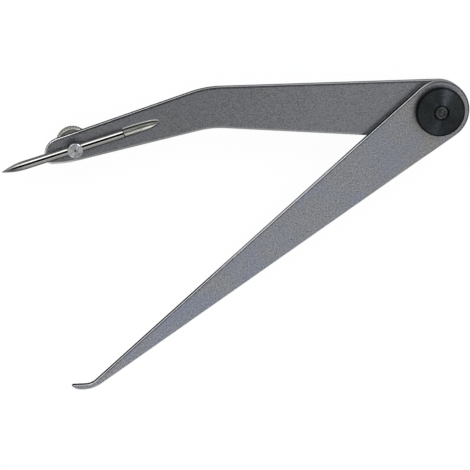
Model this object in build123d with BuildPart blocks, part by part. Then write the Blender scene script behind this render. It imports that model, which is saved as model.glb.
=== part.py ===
from build123d import *
from math import acos, atan2, cos, degrees, pi, radians, sin, tan
import os

# Odd leg caliper, in millimetres. The pivot axis is Z, the legs point to -X, and
# the flat back of the joint lies at height zero with the work side upwards.

# Legs and joint
leg_thickness = 2.1
leg_gap = 0.3
edge_bevel = 0.2
running_clearance = 0.05
fixed_clearance = 0.02
overrun = 2.0

# Scriber leg outline: straight to the bend, then a tapering outer part with a rounded nose
scriber_leg_end_radius = 10.3
front_edge_break = 0.25
front_edge_ease = 0.45
front_edge_fall = 0.18
bend_reach = 79.55
bend_skew = 1.98
bend_upper_height = 10.15
bend_lower_drop = 3.78
bend_upper_radius = 33.0
bend_lower_radius = 30.0
outer_bend_angle = 17.84
outer_taper_angle = 5.56
outer_length = 57.83
nose_width = 7.158
nose_lean = 1.043
nose_upper_radius_share = 0.81
nose_lower_radius_share = 0.35
heel_setback = 7.755
heel_radius = 20.0

# Hook leg outline: straight to the ankle, then a short foot turned outwards
hook_leg_end_radius = 10.4
hook_leg_edge_radius = 0.3
hook_reach = 119.67
hook_drop = 92.47
throat_radius = 5.0
foot_height = 1.7
ankle_skew = 0.53
ankle_radius = 10.7
sole_flat = 0.748
toe_length = 3.25
toe_nip = 0.4

# Pivot rivet, discs and washers
rivet_radius = 2.25
rivet_head_radius = 3.6
rivet_end_chamfer = 0.15
pivot_disc_radius = 8.43
pivot_disc_chamfer = 0.2
back_disc_thickness = 2.0
front_disc_edge = 1.7
front_disc_height = 3.2
front_disc_countersink = 0.35
spring_recess_radius = 5.5
spring_recess_depth = 0.7
spring_washer_radius = 5.2
spring_washer_thickness = 0.3
friction_washer_radius = 7.0

# Scriber and its groove
clamp_setback = 9.637
clamp_inset = 5.08
groove_skew_angle = 1.54
scriber_radius = 1.5
scriber_axis_rise = 0.5
scriber_tip_reach = 25.5
scriber_tail_reach = 17.3
scriber_point_length = 8.0
scriber_point_flat = 0.06
scriber_point_cones = 9
scriber_tail_chamfer = 0.3
groove_slack = 2.4
groove_wheel_radius = 50.0

# Clamp stud, nut and washer
stud_radius = 2.5
stud_head_rise = 3.4
stud_head_chamfer = 0.2
stud_centre_mark = 0.42
stud_shoulder_gap = 0.5
shank_radius = 1.5
shank_overhang = 0.7
shank_chamfer = 0.35
nut_washer_radius = 4.5
nut_washer_thickness = 0.7
nut_neck_radius = 3.6
nut_neck_length = 3.3
nut_radius = 5.55
nut_grip_width = 4.3
nut_chamfer = 0.35
nut_bore_chamfer = 0.4
knurl_count = 36
knurl_depth = 0.22
knurl_crest = 0.12

# Heights of the stack at the joint
scriber_leg_back = back_disc_thickness
scriber_leg_front = scriber_leg_back + leg_thickness
hook_leg_back = scriber_leg_front + leg_gap
hook_leg_front = hook_leg_back + leg_thickness
rivet_end = hook_leg_front + front_disc_height

# Heights of the stack at the clamp
scriber_axis_height = scriber_leg_front + scriber_axis_rise
stud_top = scriber_leg_front + stud_head_rise
stud_shoulder = scriber_leg_back + stud_shoulder_gap
nut_washer_back = scriber_leg_back - nut_washer_thickness
nut_grip_front = nut_washer_back - nut_neck_length
nut_back = nut_grip_front - nut_grip_width
shank_end = nut_back - shank_overhang

# Corners and directions of the scriber leg's outer part
outer_angle = radians(outer_bend_angle)
lower_edge_angle = radians(outer_bend_angle - outer_taper_angle)
upper_edge_way = Vector(-cos(outer_angle), -sin(outer_angle))
lower_edge_way = Vector(-cos(lower_edge_angle), -sin(lower_edge_angle))
across_way = Vector(sin(outer_angle), -cos(outer_angle))
upper_bend = Vector(-bend_reach, bend_upper_height)
lower_bend = Vector(bend_skew - bend_reach, -bend_lower_drop)
nose_corner = upper_bend + upper_edge_way * outer_length
nose_foot = nose_corner + upper_edge_way * nose_lean + across_way * nose_width
heel = lower_bend + lower_edge_way * (outer_length - heel_setback)

# Places that several pieces share
pivot_place = Vector(0, 0)
clamp_place = nose_corner - upper_edge_way * clamp_setback + across_way * clamp_inset
clamp_axis = Axis(clamp_place, (0, 0, 1))
groove_angle = radians(outer_bend_angle - groove_skew_angle)
tip_way = Vector(-cos(groove_angle), -sin(groove_angle))
scriber_centre = clamp_place + Vector(0, 0, scriber_axis_height)


def round_end(radius, upper_corner, lower_corner):
    """Points where both edges touch the round end about the pivot, and the point behind it."""
    angles = []
    for corner, side in ((upper_corner, 1), (lower_corner, -1)):
        swing = acos(radius / corner.length)
        angles.append(atan2(corner.Y, corner.X) % (2 * pi) - side * swing)
    angles.insert(1, sum(angles) / 2 + pi)
    return [Vector(radius * cos(angle), radius * sin(angle)) for angle in angles]


def section_plane(place, height):
    """Upright plane through that place, with its Y axis up, for the profiles that are revolved."""
    return Plane(origin=(place.X, place.Y, height), x_dir=(1, 0, 0), z_dir=(0, -1, 0))


# Groove: straight past the nose at full depth, then the rim of a wheel lifts out of the leg
groove_radius = scriber_radius + running_clearance
groove_depth = groove_radius - scriber_axis_rise
groove_tail = scriber_tail_reach + groove_slack
groove_lead = clamp_setback + nose_lean + overrun
rim_path_radius = groove_wheel_radius - groove_radius
runout_angle = degrees(acos(1 - (groove_depth + groove_radius) / rim_path_radius))
groove_plane = Plane(origin=scriber_centre, x_dir=-tip_way, z_dir=Vector(0, 0, 1).cross(tip_way))

with BuildPart() as groove_tool:
    with BuildLine(groove_plane) as groove_path:
        groove_run = Line((-groove_lead, 0), (groove_tail, 0))
        JernArc(groove_run @ 1, groove_run % 1, rim_path_radius, runout_angle)
    with BuildSketch(Plane(origin=groove_path.line @ 0, z_dir=-tip_way)):
        Circle(groove_radius)
    sweep()

# Scriber leg
end_upper, end_behind, end_lower = round_end(scriber_leg_end_radius, upper_bend, lower_bend)
scriber_leg_radii = [
    bend_upper_radius,
    nose_width * nose_upper_radius_share,
    nose_width * nose_lower_radius_share,
    heel_radius,
    bend_lower_radius,
]

with BuildPart() as scriber_leg:
    with BuildSketch(Plane.XY.offset(scriber_leg_back)):
        with BuildLine():
            FilletPolyline(
                end_upper,
                upper_bend,
                nose_corner,
                nose_foot,
                heel,
                lower_bend,
                end_lower,
                radius=scriber_leg_radii,
            )
            ThreePointArc(end_lower, end_behind, end_upper)
        make_face()
    extrude(amount=leg_thickness)
    chamfer(scriber_leg.edges().group_by(Axis.Z)[0], length=edge_bevel)
    chamfer(scriber_leg.edges().group_by(Axis.Z)[-1], length=front_edge_break)
    front = scriber_leg.faces().sort_by(Axis.Z)[-1]
    chamfer(front.edges(), length=front_edge_ease, length2=front_edge_fall, reference=front)
    with BuildSketch(Plane.XY.offset(scriber_leg_back)):
        Circle(rivet_radius + fixed_clearance)
        with Locations(clamp_place):
            Circle(stud_radius + running_clearance)
    extrude(amount=leg_thickness, mode=Mode.SUBTRACT)
    add(groove_tool.part, mode=Mode.SUBTRACT)

# Hook leg: the sole starts where the ankle's curve ends
throat = Vector(-hook_reach, -hook_drop)
ankle = Vector(ankle_skew - hook_reach, -hook_drop - foot_height)
end_upper, end_behind, end_lower = round_end(hook_leg_end_radius, throat, ankle)
ankle_turn = atan2(end_lower.Y - ankle.Y, end_lower.X - ankle.X)
sole_end = ankle - Vector(ankle_radius * tan(ankle_turn / 2) + sole_flat, 0)
toe_end = Vector(sole_end.X - toe_length, throat.Y - toe_nip)
toe_top = toe_end + Vector(toe_nip, toe_nip)

with BuildPart() as hook_leg:
    with BuildSketch(Plane.XY.offset(hook_leg_back)):
        with BuildLine():
            FilletPolyline(end_upper, throat, toe_top, radius=throat_radius)
            Line(toe_top, toe_end)
            TangentArc(sole_end, toe_end, tangent=(-1, 0))
            FilletPolyline(sole_end, ankle, end_lower, radius=ankle_radius)
            ThreePointArc(end_lower, end_behind, end_upper)
        make_face()
    extrude(amount=leg_thickness)
    chamfer(hook_leg.edges().group_by(Axis.Z)[0], length=edge_bevel)
    fillet(hook_leg.edges().group_by(Axis.Z)[-1], radius=hook_leg_edge_radius)
    with BuildSketch(Plane.XY.offset(hook_leg_back)):
        Circle(rivet_radius + running_clearance)
    extrude(amount=leg_thickness, mode=Mode.SUBTRACT)

# Front pivot disc: coned towards the rivet, which ends in a shallow countersink
disc_bore_radius = rivet_radius + fixed_clearance

with BuildPart() as front_pivot_disc:
    with BuildSketch(section_plane(pivot_place, hook_leg_front)):
        with BuildLine():
            Polyline(
                (disc_bore_radius, spring_recess_depth),
                (spring_recess_radius, spring_recess_depth),
                (spring_recess_radius, 0),
                (pivot_disc_radius, 0),
                (pivot_disc_radius, front_disc_edge),
                (pivot_disc_radius - pivot_disc_chamfer, front_disc_edge + pivot_disc_chamfer),
                (disc_bore_radius + front_disc_countersink, front_disc_height),
                (disc_bore_radius, front_disc_height - front_disc_countersink),
                close=True,
            )
        make_face()
    revolve(axis=Axis.Z)

# Back pivot disc, countersunk for the rivet's head
head_sink = rivet_head_radius - rivet_radius

with BuildPart() as back_pivot_disc:
    with BuildSketch(section_plane(pivot_place, 0)):
        with BuildLine():
            Polyline(
                (rivet_head_radius + fixed_clearance, 0),
                (pivot_disc_radius - pivot_disc_chamfer, 0),
                (pivot_disc_radius, pivot_disc_chamfer),
                (pivot_disc_radius, back_disc_thickness),
                (disc_bore_radius, back_disc_thickness),
                (disc_bore_radius, head_sink),
                close=True,
            )
        make_face()
    revolve(axis=Axis.Z)

# Pivot rivet, flush with both discs
with BuildPart() as pivot_rivet:
    with BuildSketch(section_plane(pivot_place, 0)):
        with BuildLine():
            Polyline(
                (0, 0),
                (rivet_head_radius, 0),
                (rivet_radius, head_sink),
                (rivet_radius, rivet_end - rivet_end_chamfer),
                (rivet_radius - rivet_end_chamfer, rivet_end),
                (0, rivet_end),
                close=True,
            )
        make_face()
    revolve(axis=Axis.Z)

# Thin washer between the legs
with BuildPart() as leg_friction_washer:
    with BuildSketch(Plane.XY.offset(scriber_leg_front)):
        Circle(friction_washer_radius)
        Circle(rivet_radius + fixed_clearance, mode=Mode.SUBTRACT)
    extrude(amount=leg_gap)

# Conical spring washer: its rim bears on the hook leg, its inner edge on the disc
spring_cone_rise = spring_recess_depth - spring_washer_thickness
spring_bore_radius = rivet_radius + running_clearance

with BuildPart() as joint_spring_washer:
    with BuildSketch(section_plane(pivot_place, hook_leg_front)):
        with BuildLine():
            Polyline(
                (spring_bore_radius, spring_cone_rise),
                (spring_washer_radius, 0),
                (spring_washer_radius, spring_washer_thickness),
                (spring_bore_radius, spring_recess_depth),
                close=True,
            )
        make_face()
    revolve(axis=Axis.Z)

# Scriber: a plain rod with an ogive point, ground as a row of short cones
with BuildLine(mode=Mode.PRIVATE) as ogive:
    TangentArc(
        (scriber_tip_reach - scriber_point_length, scriber_radius),
        (scriber_tip_reach, scriber_point_flat),
        tangent=(1, 0),
    )
ogive_points = [ogive.line @ (step / scriber_point_cones) for step in range(scriber_point_cones + 1)]

with BuildPart() as scriber:
    with BuildSketch(Plane(origin=scriber_centre, x_dir=tip_way, z_dir=(0, 0, 1))):
        with BuildLine():
            Polyline(
                *ogive_points,
                (scriber_tip_reach, 0),
                (-scriber_tail_reach, 0),
                (-scriber_tail_reach, scriber_radius - scriber_tail_chamfer),
                (scriber_tail_chamfer - scriber_tail_reach, scriber_radius),
                close=True,
            )
        make_face()
    revolve(axis=Axis(scriber_centre, tip_way))

# Clamp stud: cross-drilled body in the leg, shank through the nut
with BuildPart() as clamp_stud:
    with BuildSketch(section_plane(clamp_place, 0)):
        with BuildLine():
            Polyline(
                (0, shank_end),
                (shank_radius - shank_chamfer, shank_end),
                (shank_radius, shank_end + shank_chamfer),
                (shank_radius, stud_shoulder),
                (stud_radius, stud_shoulder),
                (stud_radius, stud_top - stud_head_chamfer),
                (stud_radius - stud_head_chamfer, stud_top),
                (stud_centre_mark, stud_top),
                (0, stud_top - stud_centre_mark),
                close=True,
            )
        make_face()
    revolve(axis=clamp_axis)
    with BuildSketch(Plane(origin=scriber_centre, z_dir=tip_way)):
        Circle(scriber_radius + running_clearance)
    extrude(amount=stud_radius + overrun, both=True, mode=Mode.SUBTRACT)

# Nut washer
with BuildPart() as nut_washer:
    with BuildSketch(Plane.XY.offset(nut_washer_back)):
        with Locations(clamp_place):
            Circle(nut_washer_radius)
            Circle(shank_radius + running_clearance, mode=Mode.SUBTRACT)
    extrude(amount=nut_washer_thickness)

# Thumb nut: straight knurled grip, plain neck and countersunk bore
knurl_pitch = 2 * pi * nut_radius / knurl_count
knurl_groove_width = knurl_pitch - knurl_crest

with BuildPart() as thumb_nut:
    with BuildSketch(Plane.XY.offset(nut_back)):
        with Locations(clamp_place):
            Circle(nut_radius)
            with PolarLocations(nut_radius, knurl_count):
                Polygon(
                    (-knurl_depth, 0),
                    (knurl_depth, -knurl_groove_width),
                    (knurl_depth, knurl_groove_width),
                    align=None,
                    mode=Mode.SUBTRACT,
                )
    extrude(amount=nut_grip_width)
    with BuildSketch(section_plane(clamp_place, nut_back)):
        with BuildLine():
            Polyline(
                (0, 0),
                (nut_radius - nut_chamfer, 0),
                (nut_radius, nut_chamfer),
                (nut_radius, nut_grip_width - nut_chamfer),
                (nut_radius - nut_chamfer, nut_grip_width),
                (0, nut_grip_width),
                close=True,
            )
        make_face()
    revolve(axis=clamp_axis, mode=Mode.INTERSECT)
    with BuildSketch(Plane.XY.offset(nut_grip_front)):
        with Locations(clamp_place):
            Circle(nut_neck_radius)
    extrude(amount=nut_neck_length)
    nut_bore_radius = shank_radius + running_clearance
    with BuildSketch(section_plane(clamp_place, nut_back)):
        with BuildLine():
            Polyline(
                (0, 0),
                (nut_bore_radius + nut_bore_chamfer, 0),
                (nut_bore_radius, nut_bore_chamfer),
                (nut_bore_radius, nut_grip_width + nut_neck_length),
                (0, nut_grip_width + nut_neck_length),
                close=True,
            )
        make_face()
    revolve(axis=clamp_axis, mode=Mode.SUBTRACT)

# One STEP file for each piece
pieces = {
    "scriber_leg": scriber_leg,
    "hook_leg": hook_leg,
    "front_pivot_disc": front_pivot_disc,
    "back_pivot_disc": back_pivot_disc,
    "pivot_rivet": pivot_rivet,
    "leg_friction_washer": leg_friction_washer,
    "joint_spring_washer": joint_spring_washer,
    "scriber": scriber,
    "clamp_stud": clamp_stud,
    "nut_washer": nut_washer,
    "thumb_nut": thumb_nut,
}
os.makedirs("parts", exist_ok=True)
for piece_name, piece in pieces.items():
    piece.part.label = piece_name
    export_step(piece.part, f"parts/{piece_name}.step")
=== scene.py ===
import math
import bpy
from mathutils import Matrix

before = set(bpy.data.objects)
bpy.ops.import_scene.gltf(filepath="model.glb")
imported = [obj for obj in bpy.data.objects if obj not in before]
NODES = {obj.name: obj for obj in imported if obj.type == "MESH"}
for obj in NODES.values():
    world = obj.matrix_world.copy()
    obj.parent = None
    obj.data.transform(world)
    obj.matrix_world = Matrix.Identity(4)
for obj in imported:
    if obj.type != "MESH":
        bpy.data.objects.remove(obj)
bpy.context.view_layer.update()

from types import SimpleNamespace

import bpy
from mathutils import Vector

MM = 0.001
ALL = slice(None)


def mm(*lengths):
    """Turns millimetres into metres."""
    return tuple(length * MM for length in lengths)


# A Mix node's sockets by number, because several of them share a name

SHARE = 0
NUMBER_A, NUMBER_B = 2, 3
COLOUR_A, COLOUR_B, COLOUR_RESULT = 6, 7, 2

# Places and sizes on the tool, as the CAD has them. The runout's start and the rod's end
# are measured from the clamp's axis, along the groove

CLAMP = mm(-123.87, -9.45)
GROOVE_TURN = math.radians(16.3)
GROOVE_RADIUS = 1.55 * MM
RUNOUT_START = 19.7 * MM
RUNOUT_RADIUS = 48.45 * MM
ROD_END = 17.3 * MM
ROD_AXIS_Z = 4.6 * MM
BENT_LEG_FACE_Z = 4.1 * MM
BENT_LEG_TURN = math.radians(17.84)
HOOK_LEG_TURN = math.radians(41.637)
HOOK_LEG_EDGE = 10.4 * MM
TOOL_MIDDLE = Vector(mm(-80, -30, 0))
FLOOR_Z = -7.05 * MM

# Where a finish changes: there is nothing of it at the first place, and all of it from
# the second one on. The places are along x, and up or down where the name ends in Z

TORN_AND_SHADED_WIDENS = mm(-72, -80)
DARKER_TO_NOSE = mm(-40, -88)
NOSE_HIGHLIGHT = mm(-122, -126)
WORN_TINT = mm(-28, -2)
ROUND_END_SHADE = mm(-6, -2)
SIDE_SHADE_OUTER_END = mm(-38, -26)
SIDE_SHADE_JOINT_END = mm(-4, -8)
SIDE_SHADE_TOP_Z = mm(5.95, 5.7)
EDGE_LINE_Z = mm(6.3, 6.4)
NUT_BACK_SHADE_Z = mm(-4.5, -5.7)
GROOVE_Z = mm(2.7, 2.9)

# The same, but along the groove from the clamp's axis

GROOVE_TAIL = mm(29.9, 29.2)
DARKER_POINT = mm(-17.5, -21.5)

# The same, but along the hook leg from the pivot's axis

EDGE_LINE_START = mm(-149, -143)

WHITE = [1.0, 1.0, 1.0, 1.0]
GLANCE_SHADE_TINT = "959595"


def linear(code):
    """Turns a six figure sRGB hex code into linear red, green, blue and a full alpha."""
    parts = [int(code[i:i + 2], 16) / 255 for i in (0, 2, 4)]
    return [p / 12.92 if p <= 0.04045 else ((p + 0.055) / 1.055) ** 2.4 for p in parts] + [1.0]


def add(tree, kind, *feeds, out=0, **settings):
    """Adds one shader node with its settings and gives its output.

    The feeds go to its sockets in order, or one dictionary names the sockets. Each is a
    value or the output of another node.
    """
    made = tree.nodes.new("ShaderNode" + kind)
    for name, value in settings.items():
        setattr(made, name, value)
    named = feeds[0] if feeds and isinstance(feeds[0], dict) else dict(enumerate(feeds))
    for socket, value in named.items():
        if isinstance(value, bpy.types.NodeSocket):
            tree.links.new(value, made.inputs[socket])
        else:
            made.inputs[socket].default_value = value
    return made.outputs[out] if made.outputs else None


def start(name):
    """Starts a material and gives it and its empty node tree."""
    material = bpy.data.materials.new(name)
    material.use_nodes = True
    tree = material.node_tree
    tree.nodes.clear()
    return material, tree


def overlap(tree, *masks):
    """Gives one where all the masks are one, and scales by any plain number among them."""
    both = masks[0]
    for mask in masks[1:]:
        both = add(tree, "Math", both, mask, operation="MULTIPLY")
    return both


def coat(tree, under, over, *masks, blend="MIX"):
    """Lays a colour, or a hex code's, over another one where the masks overlap."""
    upper = linear(over) if isinstance(over, str) else over
    feeds = {SHARE: overlap(tree, *masks), COLOUR_A: under, COLOUR_B: upper}
    return add(tree, "Mix", feeds, out=COLOUR_RESULT, data_type="RGBA", blend_type=blend)


def upright(tree):
    """Gives how squarely a surface faces up or down: one on a flat face, zero on a wall."""
    _, _, up = add(tree, "SeparateXYZ", add(tree, "NewGeometry", out="Normal"), out=ALL)
    return add(tree, "Math", up, operation="ABSOLUTE")


def distance_from_axis(tree, place):
    """Gives the distance from the vertical axis through the coordinates' origin."""
    level = add(tree, "VectorMath", place, (1, 1, 0), operation="MULTIPLY")
    return add(tree, "VectorMath", level, operation="LENGTH", out="Value")


def along_groove(tree, place):
    """Gives coordinates that run along the groove, from the clamp's axis."""
    return add(tree, "Mapping", {"Vector": place, "Location": (*CLAMP, 0),
                                 "Rotation": (0, 0, GROOVE_TURN)}, vector_type="TEXTURE")


def close_metal(tree, shade, rough, relief, depth, glance_shade=None, more=None):
    """Closes a material as bare metal, with a duller glancing shine painted where the shade mask is one.
    """
    feeds = {"Base Color": shade, "Metallic": 1.0, "Roughness": rough,
             "Normal": add(tree, "Bump", {"Height": relief, "Distance": depth}), **(more or {})}
    if glance_shade is not None:
        feeds["Specular Tint"] = coat(tree, WHITE, GLANCE_SHADE_TINT, glance_shade)
    add(tree, "OutputMaterial", add(tree, "BsdfPrincipled", feeds))


# Plate steel, ground and then satin etched: a fine even grain with faint grinding lines
# along the leg, and a slow bluish bloom in patches of about a centimetre. The real grain
# and lines are finer than a tenth of a millimetre, and are drawn at about half a
# millimetre so that they still show. Edges are rubbed brighter by handling. The lower part
# of a cut side is painted dark: partly the torn band that a blanking press leaves below
# its bright one, and partly painted shade for the shadowed floor that the side mirrors.
# This band is wider on the outer half of the leg

GRAIN_SIZE = 0.5 * MM
LINE_SPACING = 0.45 * MM
BLOOM_SIZE = 11 * MM
PLATE_RELIEF = 0.1 * MM
BAND_EXTRA = 0.75 * MM


def ground_plate(name, turn, torn_and_shaded_top, light, dark, bloom, edge, side):
    material, tree = start(name)
    place = add(tree, "TexCoord", out="Object")
    along = add(tree, "Mapping", {"Vector": place, "Rotation": (0, 0, turn)}, vector_type="TEXTURE")
    drawn_out = add(tree, "Mapping", {"Vector": along, "Scale": (0.08, 1, 1)})
    lines = add(tree, "TexNoise", {"Vector": drawn_out, "Scale": 1 / LINE_SPACING, "Detail": 2.0,
                                   "Roughness": 0.6})
    grain = add(tree, "TexNoise", {"Vector": place, "Scale": 1 / GRAIN_SIZE, "Detail": 2.0,
                                   "Roughness": 0.8})
    cloud = add(tree, "TexNoise", {"Vector": place, "Scale": 1 / BLOOM_SIZE, "Detail": 2.0})
    pattern = add(tree, "Mix", {SHARE: 0.9, NUMBER_A: lines, NUMBER_B: grain})
    shade = coat(tree, linear(dark), light, add(tree, "MapRange", pattern, 0.35, 0.65))
    shade = coat(tree, shade, bloom, add(tree, "MapRange", cloud, 0.36, 0.6, 0.0, 0.24))

    flat = upright(tree)
    rim = overlap(tree, add(tree, "MapRange", flat, 0.995, 0.985),
                  add(tree, "MapRange", flat, 0.05, 0.2))
    wall = add(tree, "MapRange", flat, 0.5, 0.3)
    shade = coat(tree, shade, edge, rim, 0.6)
    shade = coat(tree, shade, side, wall, 0.8)

    x, _, z = add(tree, "SeparateXYZ", place, out=ALL)
    ragged = add(tree, "Math", z, add(tree, "MapRange", grain, 0.0, 1.0, *mm(-0.25, 0.25)),
                 operation="ADD")
    top = add(tree, "MapRange", x, *TORN_AND_SHADED_WIDENS, torn_and_shaded_top, torn_and_shaded_top + BAND_EXTRA)
    above = add(tree, "Math", ragged, top, operation="SUBTRACT")
    torn_and_shaded = overlap(tree, add(tree, "MapRange", above, *mm(0.1, -0.1)),
                   add(tree, "MapRange", flat, 0.8, 0.6))
    # Painted shade on the lower part of each cut side, laid over its torn band
    shade = coat(tree, shade, "262729", torn_and_shaded)

    rough = add(tree, "Math", add(tree, "MapRange", pattern, 0.3, 0.7, 0.46, 0.38),
                overlap(tree, rim, 0.14), operation="SUBTRACT")
    relief = add(tree, "Math", pattern, 0.15, operation="MULTIPLY")
    return SimpleNamespace(material=material, tree=tree, place=place, along=along, shade=shade,
                           rough=rough, relief=relief, torn_and_shaded=torn_and_shaded, wall=wall, rim=rim)


# The bent leg's plate is a little darker towards its nose, and the nose's rounded edge
# carries a painted highlight, nearly white

def bent_leg_steel():
    plate = ground_plate("ground_plate_steel_bent_leg", BENT_LEG_TURN, torn_and_shaded_top=2.9 * MM,
                         light="bcbdbe", dark="77787b", bloom="9ca1ae", edge="c4c4c5", side="54565a")
    tree = plate.tree
    x, _, _ = add(tree, "SeparateXYZ", plate.place, out=ALL)
    plate.shade = coat(tree, plate.shade, "303032", add(tree, "MapRange", x, *DARKER_TO_NOSE, 0.0, 0.14))
    # Painted highlight, nearly white, on the nose's rounded edge
    plate.shade = coat(tree, plate.shade, "ececec", plate.rim, add(tree, "MapRange", x, *NOSE_HIGHLIGHT))
    cut_groove(plate)
    close_metal(tree, plate.shade, plate.rough, plate.relief, PLATE_RELIEF, glance_shade=plate.torn_and_shaded)
    return plate.material


# The groove's own finish: cut along its length by a round nosed wheel, a little greener
# than the plate. Its upper edge behind the rod has a raised burr that carries a painted
# highlight, its lower edge and the inside of its upper wall carry painted shade, and it
# is lightened with painted light just behind the rod. The burr falls away from the
# groove by 0.35 mm in each millimetre. The wheel's marks are far finer, and are drawn
# 0.7 mm wide so that they show

MARK_WIDTH = 0.7 * MM
MARK_SHIFT = 0.6 * MM
BURR_FALL = 0.35


def groove_half_width(tree, x):
    """Gives half the groove's width at the plate's face, which ends where the wheel ran out."""
    past = add(tree, "Math", x, RUNOUT_START, operation="SUBTRACT")
    past = add(tree, "Math", past, 0.0, operation="MAXIMUM")
    past = add(tree, "Math", past, past, operation="MULTIPLY")
    below = add(tree, "Math", past, 1 / (2 * RUNOUT_RADIUS), ROD_AXIS_Z - BENT_LEG_FACE_Z,
                operation="MULTIPLY_ADD")
    below = add(tree, "Math", below, below, operation="MULTIPLY")
    left = add(tree, "Math", GROOVE_RADIUS ** 2, below, operation="SUBTRACT")
    left = add(tree, "Math", left, 0.0, operation="MAXIMUM")
    return add(tree, "Math", left, operation="SQRT")


def cut_groove(plate):
    tree = plate.tree
    local = along_groove(tree, plate.place)
    x, y, z = add(tree, "SeparateXYZ", local, out=ALL)
    outside = add(tree, "Math", add(tree, "Math", y, operation="ABSOLUTE"), groove_half_width(tree, x),
                  operation="SUBTRACT")
    zone = overlap(tree, add(tree, "MapRange", z, *GROOVE_Z), add(tree, "MapRange", x, *GROOVE_TAIL))
    inside = overlap(tree, add(tree, "MapRange", outside, *mm(0.02, -0.04)), zone)
    beside = overlap(tree, add(tree, "Math", zone, inside, operation="SUBTRACT"),
                     add(tree, "MapRange", outside, *mm(0.42, 0.32)))
    upper = add(tree, "MapRange", y, *mm(-0.1, 0.1))
    behind_rod = add(tree, "MapRange", x, ROD_END - 0.2 * MM, ROD_END + 0.2 * MM)
    burr_highlight = overlap(tree, beside, upper, behind_rod)
    shaded_strip = overlap(tree, zone, add(tree, "MapRange", y, *mm(0.1, -0.1)),
                    add(tree, "MapRange", outside, *mm(-0.3, -0.15)),
                    add(tree, "MapRange", outside, *mm(0.32, 0.22)))
    shaded_wall = overlap(tree, inside, upper, add(tree, "MapRange", outside, *mm(-1.0, -0.7)))

    drawn_out = add(tree, "Mapping", {"Vector": local, "Scale": (0.1, 1, 1)})
    streaks = add(tree, "TexNoise", {"Vector": drawn_out, "Scale": 1 / MARK_WIDTH, "Detail": 2.0,
                                     "Roughness": 0.6})
    turns = 2 * math.pi / MARK_WIDTH
    ridges = add(tree, "Math", y, turns, turns * MARK_SHIFT, operation="MULTIPLY_ADD")
    ridges = add(tree, "Math", ridges, operation="COSINE")
    marks = add(tree, "Math", ridges, 0.1, streaks, operation="MULTIPLY_ADD")
    cut = coat(tree, linear("84867c"), "d0d1c9", add(tree, "MapRange", marks, 0.35, 0.65))
    # Painted light just behind the rod's end, lightening the groove there
    lit_behind_rod = add(tree, "MapRange", x, ROD_END + 5.5 * MM, ROD_END)
    cut = coat(tree, cut, "f6f6f0", lit_behind_rod, 0.4)

    shade = coat(tree, plate.shade, cut, inside)
    # Painted shade inside the upper wall, a painted highlight on the burr, and painted shade along the
    # lower edge
    shade = coat(tree, shade, "1c1d19", shaded_wall, 0.85)
    shade = coat(tree, shade, "e8e8e2", burr_highlight)
    plate.shade = coat(tree, shade, "3c3d3f", shaded_strip, 0.8)
    plate.rough = add(tree, "Math", inside, 0.1, plate.rough, operation="MULTIPLY_ADD")
    burr_height = add(tree, "Math", outside, -BURR_FALL / PLATE_RELIEF, operation="MULTIPLY")
    relief = add(tree, "Math", burr_highlight, burr_height, plate.relief, operation="MULTIPLY_ADD")
    plate.relief = add(tree, "Math", inside, streaks, relief, operation="MULTIPLY_ADD")


# The same plate on the hook leg. Its side is painted black with shade where it passes
# over the other leg, its rounded edge round the joint is painted darker with shade and is
# rougher there, its bluish tint is worn off round the joint, and a thin dark band of
# painted shade follows the edge just inside its rounding

LINE_INSET = 0.335 * MM


def hook_leg_steel():
    plate = ground_plate("ground_plate_steel_hook_leg", HOOK_LEG_TURN, torn_and_shaded_top=5.3 * MM,
                         light="d2d4d8", dark="7d7f85", bloom="9aa9d6", edge="e0e1e2", side="8e8f92")
    tree = plate.tree
    x, _, z = add(tree, "SeparateXYZ", plate.place, out=ALL)
    shade = coat(tree, plate.shade, "fffaee", add(tree, "MapRange", x, *WORN_TINT), blend="MULTIPLY")

    run, reach, _ = add(tree, "SeparateXYZ", plate.along, out=ALL)
    past_pivot = add(tree, "Math", run, 0.0, operation="GREATER_THAN")
    radius = distance_from_axis(tree, plate.place)
    reach = add(tree, "Mix", {SHARE: past_pivot, NUMBER_A: reach, NUMBER_B: radius})
    away = add(tree, "Math", reach, HOOK_LEG_EDGE - LINE_INSET, operation="SUBTRACT")
    away = add(tree, "Math", away, operation="ABSOLUTE")
    line = overlap(tree, add(tree, "MapRange", away, *mm(0.22, 0.11)),
                   add(tree, "MapRange", z, *EDGE_LINE_Z), add(tree, "MapRange", run, *EDGE_LINE_START))
    # Painted shade in a thin band along the edge
    shade = coat(tree, shade, "2c2d30", line, 0.8)

    _, facing, _ = add(tree, "SeparateXYZ", add(tree, "TexCoord", out="Normal"), out=ALL)
    shaded_side = overlap(tree, plate.wall, add(tree, "Math", facing, 0.2, operation="GREATER_THAN"),
                    add(tree, "MapRange", z, *SIDE_SHADE_TOP_Z), add(tree, "MapRange", x, *SIDE_SHADE_OUTER_END),
                    add(tree, "MapRange", x, *SIDE_SHADE_JOINT_END))
    # Painted shade, black, on the side where it passes over the other leg
    shade = coat(tree, shade, "0c0c0c", shaded_side)
    shaded_round_end = overlap(tree, plate.rim, add(tree, "MapRange", x, *ROUND_END_SHADE))
    # Painted shade on the rounded edge round the joint
    shade = coat(tree, shade, "4c4d50", shaded_round_end)
    rough = add(tree, "Math", shaded_round_end, 0.2, plate.rough, operation="MULTIPLY_ADD")
    glance_shade = add(tree, "Math", plate.torn_and_shaded, shaded_side, operation="MAXIMUM")
    close_metal(tree, shade, rough, plate.relief, PLATE_RELIEF, glance_shade=glance_shade)
    return plate.material


# Turned faces: rings at the tool's feed, whose fine grooves fan a lamp out into a wedge
# of light from the middle. The real feed is near 0.1 mm, and the rings are drawn from
# 0.6 to 1.1 mm apart so that they still show. The specks of wear between them are 0.8 mm.
# A Wave texture at scale 1 repeats after a tenth of pi

WAVE_PERIOD = math.pi / 10
SPECK_SIZE = 0.8 * MM


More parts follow.
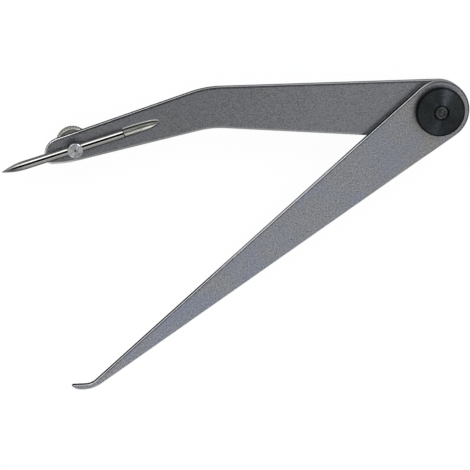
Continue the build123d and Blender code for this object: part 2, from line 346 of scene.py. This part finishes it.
def turned_face(name, centre, feed, light, dark, arris, side):
    material, tree = start(name)
    place = add(tree, "TexCoord", out="Object")
    centred = add(tree, "Mapping", {"Vector": place, "Location": (*centre, 0)}, vector_type="TEXTURE")
    rings = add(tree, "TexWave", {"Vector": centred, "Scale": WAVE_PERIOD / feed, "Distortion": 3.0,
                                  "Detail": 3.0, "Detail Scale": 0.8},
                out="Fac", wave_type="RINGS", rings_direction="Z")
    speck = add(tree, "TexNoise", {"Vector": place, "Scale": 1 / SPECK_SIZE, "Detail": 3.0})
    pattern = add(tree, "Mix", {SHARE: 0.82, NUMBER_A: rings, NUMBER_B: speck})
    shade = coat(tree, linear(dark), light, add(tree, "MapRange", pattern, 0.25, 0.75))
    flat = upright(tree)
    shade = coat(tree, shade, arris, add(tree, "MapRange", flat, 0.95, 0.9),
                 add(tree, "MapRange", flat, 0.3, 0.4))
    shade = coat(tree, shade, side, add(tree, "MapRange", flat, 0.4, 0.3))
    return SimpleNamespace(material=material, tree=tree, centred=centred, shade=shade, flat=flat,
                           rings=rings, pattern=pattern, radius=distance_from_axis(tree, centred))


def crease_shade(face, radius):
    """Paints a dark ring of shade where a turned face meets a step."""
    tree = face.tree
    away = add(tree, "Math", face.radius, radius, operation="SUBTRACT")
    away = add(tree, "Math", away, operation="ABSOLUTE")
    face.shade = coat(tree, face.shade, "111112", add(tree, "MapRange", away, *mm(0.25, 0.15)),
                      add(tree, "MapRange", face.flat, 0.9, 0.95, 0.0, 0.8))


def close_turned(face, rough, fan, glance_shade=None):
    """Closes a turned finish, with its highlight drawn out across the rings."""
    tree = face.tree
    round_axis = add(tree, "Tangent", direction_type="RADIAL", axis="Z")
    rough = add(tree, "MapRange", face.pattern, 0.25, 0.75, rough + 0.05, rough - 0.05)
    across = {"Anisotropic": fan, "Anisotropic Rotation": 0.25, "Tangent": round_axis}
    close_metal(tree, face.shade, rough, face.rings, 0.002 * MM, glance_shade=glance_shade, more=across)
    return face.material


# Turned and chemically blackened steel: nearly black, with a faint bluish fan of light

def blackened_steel():
    face = turned_face("turned_blackened_steel", centre=(0, 0), feed=0.7 * MM,
                       light="484c4d", dark="303435", arris="101112", side="26282a")
    crease_shade(face, radius=8.1 * MM)
    return close_turned(face, rough=0.52, fan=0.9)


# A rivet's end, peened over and blackened, and worn a little lighter than the disc

def peened_steel():
    face = turned_face("peened_blackened_steel", centre=(0, 0), feed=1.1 * MM,
                       light="6c6f6e", dark="060606", arris="2a2b2c", side="26282a")
    return close_turned(face, rough=0.5, fan=0.8)


# Bright turned steel. Its side is painted dark grey as shade, and a dark spot of painted
# shade marks the centre that its drill left

def bright_steel():
    face = turned_face("turned_bright_steel", centre=CLAMP, feed=0.8 * MM,
                       light="f4f4f6", dark="a4a4a8", arris="c8c9cc", side="424346")
    # Painted shade in the drill's centre mark
    centre_mark_shade = add(face.tree, "MapRange", face.radius, *mm(0.55, 0.2))
    face.shade = coat(face.tree, face.shade, "242426", centre_mark_shade)
    return close_turned(face, rough=0.38, fan=0.93)


# Turned and knurled steel, dull and slightly olive, and darker towards its back with painted shade

def knurled_steel():
    face = turned_face("turned_knurled_steel", centre=CLAMP, feed=0.6 * MM,
                       light="c6c6be", dark="989890", arris="b0b0aa", side="7e7e78")
    tree = face.tree
    crease_shade(face, radius=5.08 * MM)
    _, _, z = add(tree, "SeparateXYZ", face.centred, out=ALL)
    # Painted shade towards the nut's back
    back_shade = add(tree, "MapRange", z, *NUT_BACK_SHADE_Z)
    face.shade = coat(tree, face.shade, "2a2a26", back_shade)
    return close_turned(face, rough=0.5, fan=0.5, glance_shade=back_shade)


# Centreless ground and polished rod, nearly a mirror on its top, with its flanks rougher
# and darkened by painted shade where it lies in the groove. Its rear end is rougher too
# and painted dark as shadow, and its point is darker. The faint rings round it are drawn
# at 0.4 mm, coarser than the wheel's own

ROD_RINGS = 0.4 * MM
UPPER_FLANK = mm(0.88, 1.08)
LOWER_FLANK = mm(-0.75, -0.95)


def polished_rod():
    material, tree = start("polished_ground_steel_rod")
    local = along_groove(tree, add(tree, "TexCoord", out="Object"))
    x, y, _ = add(tree, "SeparateXYZ", local, out=ALL)
    drawn_out = add(tree, "Mapping", {"Vector": local, "Scale": (1, 0.05, 0.05)})
    rings = add(tree, "TexNoise", {"Vector": drawn_out, "Scale": 1 / ROD_RINGS, "Detail": 2.0})
    shade = coat(tree, linear("b6b6b4"), "c8c8c6", add(tree, "MapRange", rings, 0.35, 0.65))

    shaded_strip = add(tree, "Math", add(tree, "MapRange", y, *UPPER_FLANK),
                add(tree, "MapRange", y, *LOWER_FLANK), operation="MAXIMUM")
    shaded_end = add(tree, "MapRange", x, ROD_END - 0.35 * MM, ROD_END - 0.25 * MM)
    # Painted shade on the flanks, and painted shadow at the rear end
    shade = coat(tree, shade, "4c4c4c", shaded_strip, 0.9)
    shade = coat(tree, shade, "141414", shaded_end)
    # Darker towards the point
    shade = coat(tree, shade, "747472", add(tree, "MapRange", x, *DARKER_POINT))
    rough = add(tree, "Math", add(tree, "Math", shaded_strip, shaded_end, operation="MAXIMUM"), 0.3,
                add(tree, "MapRange", rings, 0.3, 0.7, 0.06, 0.03), operation="MULTIPLY_ADD")
    close_metal(tree, shade, rough, rings, 0.0004 * MM, glance_shade=shaded_strip)
    return material


# Rolled bronze strip and oiled spring steel, faintly mottled at 0.7 mm, which only show
# at the joint's edge

MOTTLE_SIZE = 0.7 * MM


def rolled_strip(name, light, dark, rough):
    material, tree = start(name)
    place = add(tree, "TexCoord", out="Object")
    mottle = add(tree, "TexNoise", {"Vector": place, "Scale": 1 / MOTTLE_SIZE, "Detail": 3.0})
    shade = coat(tree, linear(dark), light, add(tree, "MapRange", mottle, 0.3, 0.7))
    rough = add(tree, "MapRange", mottle, 0.3, 0.7, rough + 0.05, rough - 0.05)
    close_metal(tree, shade, rough, mottle, 0.004 * MM)
    return material


blackened = blackened_steel()
knurled = knurled_steel()
finishes = {
    "scriber_leg": bent_leg_steel(),
    "hook_leg": hook_leg_steel(),
    "front_pivot_disc": blackened,
    "back_pivot_disc": blackened,
    "pivot_rivet": peened_steel(),
    "leg_friction_washer": rolled_strip("rolled_bronze_strip", light="a8834f", dark="8a6a3c", rough=0.35),
    "joint_spring_washer": rolled_strip("oiled_spring_steel", light="6d6e74", dark="505157", rough=0.3),
    "scriber": polished_rod(),
    "clamp_stud": bright_steel(),
    "nut_washer": knurled,
    "thumb_nut": knurled,
}
for node, finish in finishes.items():
    for slot in NODES[node].material_slots:
        slot.material = finish


# A white room: the floor and the world are white for what looks at them straight,
# and for what metal mirrors of them, and the floor still takes the tool's shadow

def seen_or_mirrored(tree):
    """Gives one where a ray comes from the camera, a mirror or glass, else zero."""
    ray = {output.name: output for output in add(tree, "LightPath", out=ALL)}
    mirrored = add(tree, "Math", ray["Is Glossy Ray"], ray["Is Transmission Ray"], operation="MAXIMUM")
    return add(tree, "Math", ray["Is Camera Ray"], mirrored, operation="MAXIMUM")


def white_floor():
    bpy.ops.object.select_all(action="DESELECT")
    bpy.ops.mesh.primitive_plane_add(size=6, location=(0, 0, FLOOR_Z))
    floor = bpy.context.object
    floor.name = "floor"
    material, tree = start("white_paper_floor")
    matt = add(tree, "BsdfDiffuse", {"Color": linear("f6f6f6")})
    glow = add(tree, "Emission", {"Color": WHITE, "Strength": 1.0})
    share = overlap(tree, seen_or_mirrored(tree), 0.95)
    add(tree, "OutputMaterial", add(tree, "MixShader", share, matt, glow))
    floor.data.materials.append(material)


def white_world():
    world = bpy.data.worlds.new("white_room")
    bpy.context.scene.world = world
    world.use_nodes = True
    tree = world.node_tree
    tree.nodes.clear()
    level = add(tree, "MapRange", seen_or_mirrored(tree), 0.0, 1.0, 0.9, 1.0)
    add(tree, "OutputWorld", add(tree, "Background", {"Color": WHITE, "Strength": level}))


def card(name, place, width, height, code):
    """Adds a flat card that metal mirrors and the camera doesn't see."""
    bpy.ops.object.select_all(action="DESELECT")
    turn = (TOOL_MIDDLE - Vector(place)).to_track_quat("Z", "Y").to_euler()
    bpy.ops.mesh.primitive_plane_add(size=1, location=place, rotation=turn)
    made = bpy.context.object
    made.name = name
    made.scale = (width, height, 1)
    made.visible_camera = False
    made.visible_diffuse = False
    made.visible_shadow = False
    material, tree = start(name)
    add(tree, "OutputMaterial", add(tree, "Emission", {"Color": linear(code), "Strength": 1.0}))
    made.data.materials.append(material)


def softbox(name, place, width, height, level, code):
    """Adds an area lamp whose face has that brightness."""
    lamp = bpy.data.lights.new(name, "AREA")
    lamp.shape = "RECTANGLE"
    lamp.size = width
    lamp.size_y = height
    lamp.energy = level * math.pi * width * height
    lamp.color = linear(code)[:3]
    made = bpy.data.objects.new(name, lamp)
    made.location = place
    made.rotation_euler = (TOOL_MIDDLE - Vector(place)).to_track_quat("-Z", "Y").to_euler()
    made.visible_camera = False
    bpy.context.scene.collection.objects.link(made)


def photo_camera():
    """Adds the camera at the photograph's viewing angle."""
    lens = bpy.data.cameras.new("camera")
    lens.sensor_width = 36
    lens.lens = 180.235
    lens.clip_start = 0.01
    made = bpy.data.objects.new("camera", lens)
    made.location = (-0.17639, 0.18225, 0.76738)
    made.rotation_euler = [math.radians(a) for a in (-16.1994, -7.9547, 0.0)]
    bpy.context.scene.collection.objects.link(made)
    bpy.context.scene.camera = made


white_floor()
white_world()
card("black_flag", (-0.12, 0.24, 1.25), width=1.6, height=1.38, code="141414")
card("grey_wall", (0.0, -1.4, 0.8), width=4.0, height=1.9, code="bcbcbc")
softbox("key_softbox", (0.56, 0.75, 0.62), width=0.42, height=0.45, level=13.0, code="e6edff")
softbox("back_softbox", (-0.75, 1.15, 0.75), width=1.0, height=0.95, level=1.6, code="ffffff")
photo_camera()
bpy.context.scene.view_settings.view_transform = "Standard"
